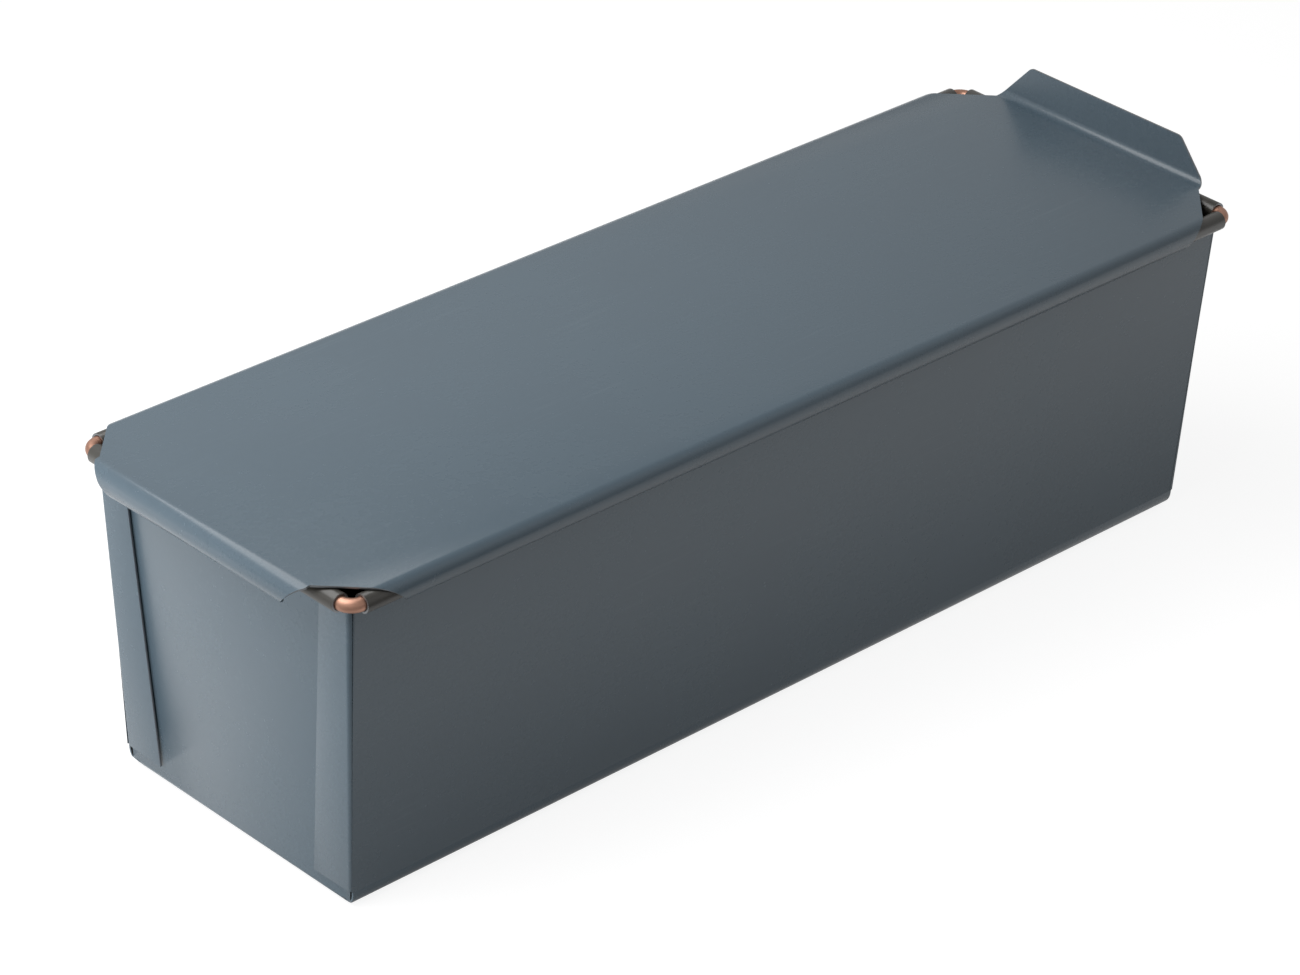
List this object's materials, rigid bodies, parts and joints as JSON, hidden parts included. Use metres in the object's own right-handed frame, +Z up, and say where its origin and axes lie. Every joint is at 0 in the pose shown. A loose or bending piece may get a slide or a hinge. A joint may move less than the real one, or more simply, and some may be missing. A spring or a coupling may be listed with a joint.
{
  "type": "pullman loaf pan",
  "caption": "Long straight-sided loaf pan with a wire-rolled rim and a flat slide-on lid that curls under the rim.",
  "frame": {"origin": "middle of the pan's underside, on the surface that it rests on", "axes": "+X along the pan towards the grip tab, +Y across the pan, +Z up"},
  "size_m": [0.3155, 0.1038, 0.1032],
  "materials": {
    "pan_coat": "satin blue-grey baked coating on folded steel sheet, brown-grey non-stick coating inside",
    "copper_wire": "drawn steel wire with a thin copper plating, lightly polished",
    "lid_coat": "satin blue-grey baked coating on steel sheet, brown-grey non-stick coating below"
  },
  "bodies": {
    "pan": {"trough": "pan_coat", "stop_end_wall": "pan_coat", "grip_end_wall": "pan_coat", "rim_wire": "copper_wire"},
    "lid": {"lid": "lid_coat"}
  },
  "joints": [
    {"name": "lid_slide", "type": "slide", "parent": "pan", "child": "lid", "axis": [-1, 0, 0], "range_m": [0, 0.32]}
  ]
}
